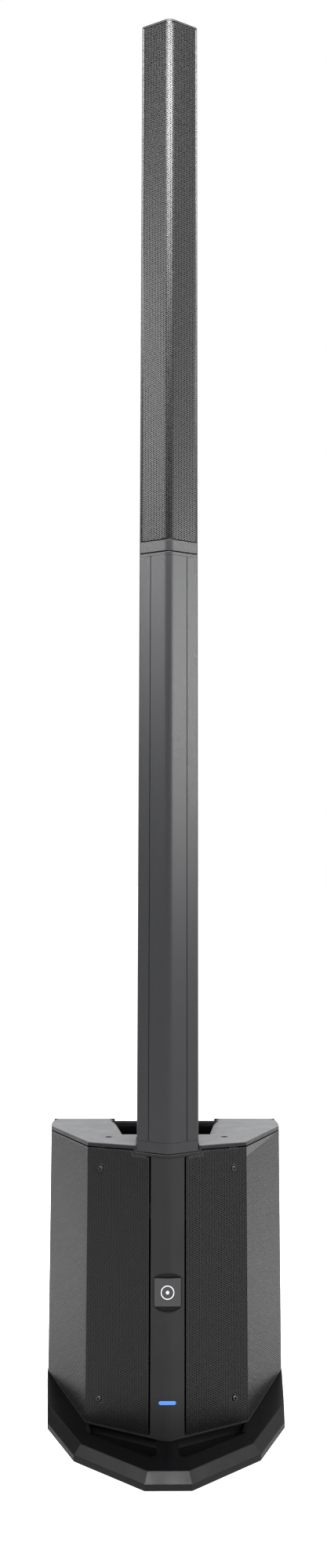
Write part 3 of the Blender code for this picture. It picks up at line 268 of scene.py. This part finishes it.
MATERIALS = {
    "cabinet": moulded_plastic(
        "cabinet_grained_black", (0.008, 0.008, 0.0085), 0.50, 0.0011, 0.00012
    ),
    # Painted light on the cover: its tops are painted far paler than its upright sides, as if lit
    # from above.
    "cover": tone_by_facing_painted_light("cover_charcoal_painted_light", (0.010, 0.010, 0.011), (0.110, 0.111, 0.116), 0.42, 0.3),
    # Painted shade on the foot: its tops are painted near black and its upright walls paler,
    # standing in for how the light falls.
    "foot": tone_by_facing_painted_light("foot_charcoal_painted_shade", (0.012, 0.012, 0.0128), (0.001, 0.001, 0.0011), 0.32, 0.13),
    "spine": moulded_plastic("spine_charcoal", (0.016, 0.016, 0.0167), 0.42, 0.0005, 0.00003, 0.25),
    "column": powder_coat("column_powder_coat", (0.018, 0.0183, 0.0197), 0.38, specular=0.45),
    "grille": powder_coat("grille_satin_black", (0.007, 0.007, 0.0077), 0.36, specular=0.52),
    # Near-black with hardly any sheen: the panel's own black, and also painted shade on the handle
    # bar and its cup down in their recess.
    "dark": moulded_plastic("panel_black_painted_recess_shade", (0.0008, 0.0008, 0.0009), 0.55, 0.0005, 0.00003, 0.05),
    "board": dyed_board("baffle_stained", (0.010, 0.009, 0.008)),
    "rubber": plain("rubber_black", (0.010, 0.010, 0.010), 0.85),
    "paper": pulp("cone_pulp", (0.012, 0.012, 0.0125)),
    "light": glowing("lens_blue", (0.140, 0.340, 0.920), 1.0),
    "screw": plain("screw_black_oxide", (0.003, 0.003, 0.0032), 0.22, 0.0, 0.0006, 0.00001, 0.8),
    "metal": brushed("bare_aluminium", (0.55, 0.56, 0.57), 0.38, (1, 1, 0.05)),
    "brass": brushed("contact_gold", (0.75, 0.56, 0.25), 0.30, (1, 1, 0.2)),
    "circuit": plain("board_lacquer", (0.015, 0.10, 0.045), 0.35, 0.0, 0.003),
}
BADGE = powder_coat("badge_satin_grey", (0.032, 0.032, 0.0338), 0.42)
CLOTH = plain("acoustic_cloth", (0.0012, 0.0012, 0.0012), 0.95, 0.0, 0.0004, specular=0.05)
PRINT = plain("print_light_grey", (0.70, 0.71, 0.72), 0.45)


def dress_nodes():
    slots = {entry["node"]: entry["material_slot"] for entry in frame["record"]["subparts"]}
    for name, obj in nodes.items():
        for slot in obj.material_slots:
            slot.material = BADGE if name == "badge" else MATERIALS[slots[name]]


# ---------------------------------------------------------------- pieces


def piece(name, bm, slot, body, replaced=(), materials=None, smooth=32):
    """One named visible object from a bmesh, riding on its body."""
    mesh = bpy.data.meshes.new(name)
    bm.to_mesh(mesh)
    bm.free()
    mesh.shade_smooth()
    mesh.set_sharp_from_angle(angle=math.radians(smooth))
    for material in materials or [MATERIALS[slot]]:
        mesh.materials.append(material)
    obj = bpy.data.objects.new(name, mesh)
    bpy.context.scene.collection.objects.link(obj)
    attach(obj, body)
    if replaced:
        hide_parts(*replaced)
    return obj


# ---------------------------------------------------------------- perforated sheets


class Sheet:
    """The front skin of a folded sheet, unrolled flat: u runs along it in plan, v runs up."""

    def __init__(self, bm, faces):
        self.spots = sorted({(round(v.co.x, 6), round(v.co.y, 6)) for f in faces for v in f.verts})
        self.lengths = [0.0]
        for (x0, y0), (x1, y1) in zip(self.spots, self.spots[1:]):
            self.lengths.append(self.lengths[-1] + math.hypot(x1 - x0, y1 - y0))
        chosen = set(faces)
        self.edges = [e for e in bm.edges if len([f for f in e.link_faces if f in chosen]) == 1]
        self.rim = sorted({v for e in self.edges for v in e.verts}, key=lambda v: v.index)

    def flat(self, co):
        return self.lengths[self.spots.index((round(co.x, 6), round(co.y, 6)))], co.z

    def solid(self, u, v, depth=0.0):
        """The point in space at u, v and its depth below the skin."""
        step = min(max(bisect.bisect(self.lengths, u) - 1, 0), len(self.spots) - 2)
        (x0, y0), (x1, y1) = self.spots[step], self.spots[step + 1]
        length = self.lengths[step + 1] - self.lengths[step]
        along = (u - self.lengths[step]) / length
        out = Vector((y1 - y0, x0 - x1, 0)) / length
        return Vector((x0 + (x1 - x0) * along, y0 + (y1 - y0) * along, v)) - out * depth

    def loops(self, points):
        """The rim's closed loops as lists of vertex numbers, the outermost first."""
        number = {vert: index for index, vert in enumerate(self.rim)}
        joined = [[] for _ in self.rim]
        for edge in self.edges:
            first, second = number[edge.verts[0]], number[edge.verts[1]]
            joined[first].append(second)
            joined[second].append(first)
        found, seen = [], set()
        for start in range(len(self.rim)):
            if start in seen:
                continue
            loop, here = [], start
            while here is not None:
                loop.append(here)
                seen.add(here)
                here = next((other for other in joined[here] if other not in seen), None)
            found.append(loop)
        return sorted(found, key=lambda loop: min(points[index][0] for index in loop))


def hole_centres(points, segments, middle):
    """Staggered columns of holes, laid from the line u = middle, that stay clear of the rim."""
    starts = np.array([points[a] for a, _ in segments])
    ends = np.array([points[b] for _, b in segments])
    low, high = np.min(starts, axis=0), np.max(starts, axis=0)
    column = HOLE_PITCH * math.sqrt(3) / 2
    first = math.ceil((low[0] - middle) / column)
    last = math.floor((high[0] - middle) / column)
    rows = np.arange(low[1], high[1], HOLE_PITCH)
    grid = []
    for step in range(first - 1, last + 1):
        stagger = (step % 2) * HOLE_PITCH / 2
        grid += [(middle + (step + 0.5) * column, v + stagger) for v in rows]
    grid = np.array(grid)
    inside = np.zeros(len(grid), bool)
    nearest = np.full(len(grid), np.inf)
    for start, end in zip(starts, ends):
        crosses = (start[1] > grid[:, 1]) != (end[1] > grid[:, 1])
        if start[1] != end[1]:
            at = start[0] + (grid[:, 1] - start[1]) * (end[0] - start[0]) / (end[1] - start[1])
            inside ^= crosses & (grid[:, 0] < at)
        span = end - start
        share = np.clip((grid - start) @ span / max(span @ span, 1e-12), 0, 1)
        gap = np.linalg.norm(grid - start - share[:, None] * span, axis=1)
        nearest = np.minimum(nearest, gap)
    return grid[inside & (nearest > HOLE_MARGIN)]


def dimple(u, v, screws):
    """How deep the sheet is pressed in round the screws."""
    depth = 0.0
    for centre_u, centre_v in screws:
        inward = DIMPLE_OUTER - math.hypot(u - centre_u, v - centre_v)
        share = min(max(inward / (DIMPLE_OUTER - DIMPLE_INNER), 0.0), 1.0)
        depth = max(depth, DIMPLE_DEPTH * share * share * (3 - 2 * share))
    return depth


def perforate(bm, faces, middle):
    """Replaces the front faces with a skin full of pits, laid out from x = middle."""
    sheet = Sheet(bm, faces)
    points = [sheet.flat(vert.co) for vert in sheet.rim]
    number = {vert: index for index, vert in enumerate(sheet.rim)}
    segments = [(number[edge.verts[0]], number[edge.verts[1]]) for edge in sheet.edges]
    loops = sheet.loops(points)
    screws = []
    loop_of = [0] * len(points)
    for index, loop in enumerate(loops[1:], 1):
        for vert in loop:
            loop_of[vert] = index
        screws.append(tuple(np.mean([points[vert] for vert in loop], axis=0)))
    line = min(range(len(sheet.spots)), key=lambda step: abs(sheet.spots[step][0] - middle))
    centres = hole_centres(points, segments, sheet.lengths[line])
    turns = [math.tau * k / HOLE_SIDES for k in range(HOLE_SIDES)]
    corners = [(HOLE_RADIUS * math.cos(turn), HOLE_RADIUS * math.sin(turn)) for turn in turns]
    pits = []
    for index, (u, v) in enumerate(centres, len(loops)):
        start = len(points)
        points += [(u + x, v + y) for x, y in corners]
        loop_of += [index] * HOLE_SIDES
        pits.append(start)
        segments += [(start + k, start + (k + 1) % HOLE_SIDES) for k in range(HOLE_SIDES)]
    flat = [Vector(point) for point in points]
    done = delaunay_2d_cdt(flat, segments, [], INSIDE_ONLY, CLOSEST_POINTS, True)
    triangles = done[2]
    came = [origins[0] for origins in done[3]]

    bmesh.ops.delete(bm, geom=faces, context="FACES_ONLY")
    verts = list(sheet.rim)
    for vert, (u, v) in zip(sheet.rim, points):
        vert.co = sheet.solid(u, v, dimple(u, v, screws))
    for u, v in points[len(sheet.rim):]:
        verts.append(bm.verts.new(sheet.solid(u, v, dimple(u, v, screws))))
    for triangle in triangles:
        first, second, third = [came[vert] for vert in triangle]
        same = loop_of[first] == loop_of[second] == loop_of[third]
        if not (same and loop_of[first]):
            bm.faces.new((verts[first], verts[second], verts[third]))
    for start in pits:
        floor = []
        for u, v in points[start:start + HOLE_SIDES]:
            floor.append(bm.verts.new(sheet.solid(u, v, dimple(u, v, screws) + HOLE_DEPTH)))
        for k in range(HOLE_SIDES):
            after = (k + 1) % HOLE_SIDES
            bm.faces.new((verts[start + after], verts[start + k], floor[k], floor[after]))
        bm.faces.new(floor).material_index = 1


def facing(bm, low, high):
    """The upright faces that look out between these angles from straight ahead."""
    found = []
    for face in bm.faces:
        normal = face.normal
        turn = math.atan2(normal.x, -normal.y)
        if abs(normal.z) < UPRIGHT_SLACK and low <= turn <= high:
            found.append(face)
    return found


def mesh_of(node):
    bm = bmesh.new()
    bm.from_mesh(nodes[node].data)
    bm.transform(nodes[node].matrix_world)
    bmesh.ops.remove_doubles(bm, verts=bm.verts, dist=WELD)
    bm.normal_update()
    return bm


def keep_side(bm, point, normal):
    """Cuts the mesh with a plane, keeps what lies behind it and closes the cut."""
    everything = list(bm.verts) + list(bm.edges) + list(bm.faces)
    done = bmesh.ops.bisect_plane(
        bm, geom=everything, plane_co=point, plane_no=normal, clear_outer=True
    )
    rim = [part for part in done["geom_cut"] if isinstance(part, bmesh.types.BMEdge)]
    bmesh.ops.holes_fill(bm, edges=rim)
    bm.normal_update()


def near(side, angle):
    """The range of angles that counts as this one, on the left (-1) or the right (1)."""
    return sorted((side * (angle - SLANT_SLACK), side * (angle + SLANT_SLACK)))


def make_box_grilles():
    """Each folded sheet in two pieces, a face and a flank, that meet at the fold."""
    half_way = (SLANT + FLANK_SLANT) / 2
    for side, name in ((-1, "grille_left"), (1, "grille_right")):
        bm = mesh_of(name)
        spots = [vert.co for face in facing(bm, *near(side, SLANT)) for vert in face.verts]
        corner = max(spots, key=lambda co: abs(co.x)).copy()
        bm.free()
        across = Vector((side * math.cos(half_way), math.sin(half_way), 0))
        for part, angle, way in (("face", SLANT, 1), ("flank", FLANK_SLANT, -1)):
            bm = mesh_of(name)
            keep_side(bm, corner, across * way)
            perforate(bm, facing(bm, *near(side, angle)), corner.x)
            replaced = [name] if part == "face" else []
            both = [MATERIALS["grille"], CLOTH]
            piece(name + "_" + part, bm, "grille", "box", replaced, both)


def make_array_grille():
    """One sheet in two halves that meet on the ridge, between two columns of holes."""
    limit = SLANT + SLANT_SLACK
    for side, name in ((-1, "left"), (1, "right")):
        bm = mesh_of("array_grille")
        keep_side(bm, Vector(), Vector((-side, 0, 0)))
        perforate(bm, facing(bm, -limit, limit), 0.0)
        replaced = ["array_grille"] if side < 0 else []
        both = [MATERIALS["grille"], CLOTH]
        piece("array_sheet_" + name, bm, "grille", "array", replaced, both)


# ---------------------------------------------------------------- small fittings


def ring_stack(rings, place):
    """A closed shape through equal rings of (x, y, height) points, moved by place."""
    bm = bmesh.new()
    loops = [[bm.verts.new(place @ Vector(point)) for point in ring] for ring in rings]
    count = len(loops[0])
    for lower, upper in zip(loops, loops[1:]):
        for k in range(count):
            after = (k + 1) % count
            bm.faces.new((lower[k], lower[after], upper[after], upper[k]))
    bm.faces.new(list(reversed(loops[0])))
    bm.faces.new(loops[-1])
    bmesh.ops.recalc_face_normals(bm, faces=bm.faces)
    return bm


def circle(radius, height, count=ROUND_SIDES):
    angles = [math.tau * k / count for k in range(count)]
    return [(radius * math.cos(angle), radius * math.sin(angle), height) for angle in angles]


def hexagon(apothem, height, count=ROUND_SIDES):
    """A hexagon with as many points as a circle, so that the two can be joined."""
    points = []
    for k in range(count):
        angle = math.tau * k / count
        radius = apothem / math.cos((angle + math.pi / 6) % (math.pi / 3) - math.pi / 6)
        points.append((radius * math.cos(angle), radius * math.sin(angle), height))
    return points


def outward(normal, origin):
    """Places local +z along an upright face's outward normal, with local y up."""
    up = Vector((0, 0, 1))
    return Matrix.Translation(origin) @ Matrix((up.cross(normal), up, normal)).transposed().to_4x4()


def make_screws():
    """Button heads with a hexagon socket."""
    for name in [name for name in nodes if name.startswith("grille_screw")]:
        bm = mesh_of(name)
        side = -1 if "left" in name else 1
        normal = Vector((side * math.sin(SLANT), -math.cos(SLANT), 0))
        heights = [vert.co.dot(normal) for vert in bm.verts]
        middle = sum((vert.co for vert in bm.verts), Vector()) / len(bm.verts)
        bm.free()
        top, length = max(heights), max(heights) - min(heights)
        seat = middle + normal * (top - middle.dot(normal))
        rings = [circle(SHANK_RADIUS, -length), circle(SHANK_RADIUS, SHANK_TOP)]
        rings += [circle(HEAD_RADIUS, HEAD_UNDERSIDE), circle(HEAD_RADIUS, -CROWN_HEIGHT)]
        for angle in CROWN_ANGLES:
            swing = math.radians(angle)
            radius = CROWN_START + CROWN_WIDTH * math.cos(swing)
            rings.append(circle(radius, -CROWN_HEIGHT + CROWN_HEIGHT * math.sin(swing)))
        rings.append(circle(HEAD_FLAT, 0.0))
        rings.append(hexagon(SOCKET_MOUTH, SOCKET_MOUTH_Z))
        rings.append(hexagon(SOCKET_FLOOR, SOCKET_FLOOR_Z))
        head = ring_stack(rings, outward(normal, seat))
        piece(name + "_socket_head", head, "screw", "box", [name], smooth=45)


def make_badge_sign():
    """The plate's generic sign: a fine ring and a dot, printed light."""
    badge = nodes["badge"]
    front = min((badge.matrix_world @ vert.co).y for vert in badge.data.vertices)
    place = outward(Vector((0, -1, 0)), Vector((0, front, BADGE_HEIGHT)))
    bm = bmesh.new()
    for inner, outer in (SIGN_RING, (0.0, SIGN_DOT)):
        rings = [circle(outer, SIGN_BOTTOM), circle(outer, SIGN_TOP)]
        if inner:
            rings += [circle(inner, SIGN_TOP), circle(inner, SIGN_BOTTOM)]
        part = ring_stack(rings, place)
        if inner:
            # The two end caps give way to the ring's underside.
            caps = [face for face in part.faces if len(face.verts) > 4]
            bmesh.ops.delete(part, geom=caps, context="FACES_ONLY")
            part.verts.ensure_lookup_table()
            count = len(rings[0])
            last = 3 * count
            for k in range(count):
                after = (k + 1) % count
                part.faces.new([part.verts[i] for i in (k, after, last + after, last + k)])
            bmesh.ops.recalc_face_normals(part, faces=part.faces)
        mesh = bpy.data.meshes.new("part")
        part.to_mesh(mesh)
        part.free()
        bm.from_mesh(mesh)
    piece("badge_sign", bm, "spine", "badge", materials=[PRINT])


def make_panel_ticks():
    """A ring of printed ticks round each knob."""
    bm = bmesh.new()
    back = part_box("control_panel")[1][1]
    for number in range(1, 5):
        low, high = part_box("level_knob_%d" % number)
        middle = (Vector(low) + Vector(high)) / 2
        for step in range(TICKS):
            turn = Matrix.Rotation(math.radians(TICK_FIRST + TICK_STEP * step), 4, "Y")
            length = TICK_LONG if step in LONG_TICKS else TICK_SHORT
            place = Matrix.Translation((middle.x, back, middle.z)) @ turn
            place = place @ Matrix.Translation((0, TICK_LIFT, TICK_RADIUS + length / 2))
            place = place @ Matrix.Diagonal((TICK_WIDTH, TICK_THICKNESS, length, 1))
            bmesh.ops.create_cube(bm, size=1, matrix=place)
    piece("panel_ticks", bm, "dark", "box", materials=[PRINT])


# ---------------------------------------------------------------- floor, light and camera


def make_floor():
    """Pale and plain. It glows a little for the eye, so that it fades into the white behind it."""
    bm = bmesh.new()
    bmesh.ops.create_grid(bm, x_segments=4, y_segments=4, size=FLOOR_HALF)
    mesh = bpy.data.meshes.new("floor")
    bm.to_mesh(mesh)
    bm.free()
    made = Nodes("floor_pale", (FLOOR_TONE,) * 3, 0.9, specular=0.1)
    made.shader.inputs["Emission Color"].default_value = (1, 1, 1, 1)
    seen = made.add("ShaderNodeLightPath").outputs["Is Camera Ray"]
    made.colour = (FLOOR_AS_LIGHT,) * 3
    made.vary_colour(seen, (FLOOR_TONE,) * 3)
    split = made.add("ShaderNodeSeparateXYZ")
    made.link(made.place(), split.inputs["Vector"])
    glow = made.add("ShaderNodeMix")
    made.link(seen, glow.inputs["Factor"])
    fade = made.spread(split.outputs["Y"], 0.0, 0.55, inside=(-0.2, 0.3))
    made.link(fade, glow.inputs["A"])
    glow.inputs["B"].default_value = 0.75
    made.link(glow.outputs["Result"], made.shader.inputs["Emission Strength"])
    mesh.materials.append(made.material)
    floor = bpy.data.objects.new("floor", mesh)
    bpy.context.scene.collection.objects.link(floor)


def make_world():
    """White all round for the eye. As light it is pale behind, dark in front, stronger at +X."""
    world = bpy.data.worlds.new("studio")
    bpy.context.scene.world = world
    world.use_nodes = True
    tree = world.node_tree
    background = tree.nodes["Background"]
    background.inputs["Color"].default_value = (1, 1, 1, 1)
    where = tree.nodes.new("ShaderNodeTexCoord")
    split = tree.nodes.new("ShaderNodeSeparateXYZ")
    tree.links.new(where.outputs["Generated"], split.inputs["Vector"])
    dim = remap(tree, split.outputs["Y"], (-0.55, 0.35), (0.015, 0.70))
    seen = tree.nodes.new("ShaderNodeLightPath")
    pick = tree.nodes.new("ShaderNodeMix")
    tree.links.new(seen.outputs["Is Camera Ray"], pick.inputs["Factor"])
    lean = remap(tree, split.outputs["X"], (-1.0, 1.0), (0.52, 1.85))
    both = tree.nodes.new("ShaderNodeMath")
    both.operation = "MULTIPLY"
    tree.links.new(dim, both.inputs[0])
    tree.links.new(lean, both.inputs[1])
    tree.links.new(both.outputs["Value"], pick.inputs["A"])
    pick.inputs["B"].default_value = 1.0
    tree.links.new(pick.outputs["Result"], background.inputs["Strength"])


def softbox(name, centre, target, width, height, power):
    data = bpy.data.lights.new(name, "AREA")
    data.shape = "RECTANGLE"
    data.size, data.size_y = width, height
    data.energy = power
    light = bpy.data.objects.new(name, data)
    light.location = centre
    light.rotation_euler = (Vector(target) - Vector(centre)).to_track_quat("-Z", "Y").to_euler()
    light.visible_camera = False
    bpy.context.scene.collection.objects.link(light)


def make_lights():
    """A tall box at the left, a lower one and a weak one at the right, and three high ones."""
    softbox("softbox_left", (-1.85, -1.55, 2.30), (0, 0, 1.5), 0.8, 1.5, 38)
    softbox("softbox_right", (1.85, -1.55, 1.40), (0, 0, 1.0), 0.8, 1.1, 36)
    softbox("softbox_right_high", (1.85, -1.55, 2.75), (0, 0, 1.5), 0.8, 1.4, 5)
    softbox("front_high", (0, -1.4, 2.9), (0, -0.25, 0.0), 1.6, 0.4, 130)
    for name, x in (("side_high_left", -2.1), ("side_high_right", 2.1)):
        softbox(name, (x, -0.5, 2.3), (x / 10, -0.2, 0), 1.2, 1.2, 36)


def make_camera():
    """Low in front, a little left of the ridge, looking slightly up and to the right."""
    yaw, pitch, roll = math.radians(0.8011), math.radians(6.6955), math.radians(0.1352)
    ahead = math.cos(pitch)
    forward = Vector((math.sin(yaw) * ahead, math.cos(yaw) * ahead, math.sin(pitch)))
    level = Vector((math.cos(yaw), -math.sin(yaw), 0))
    upright = level.cross(forward)
    right = level * math.cos(roll) + upright * math.sin(roll)
    up = right.cross(forward)
    data = bpy.data.cameras.new("camera")
    data.sensor_width = 36.0
    data.lens = 25.44
    data.shift_y = -0.03076
    data.clip_end = 200.0
    camera = bpy.data.objects.new("camera", data)
    turned = Matrix((right, up, -forward)).transposed().to_4x4()
    camera.matrix_world = Matrix.Translation((-0.02885, -1.67843, 0.76787)) @ turned
    bpy.context.scene.collection.objects.link(camera)
    bpy.context.scene.camera = camera


dress_nodes()
make_box_grilles()
make_array_grille()
make_screws()
make_badge_sign()
make_panel_ticks()
make_floor()
make_world()
make_lights()
make_camera()
bpy.context.scene.view_settings.view_transform = "Standard"
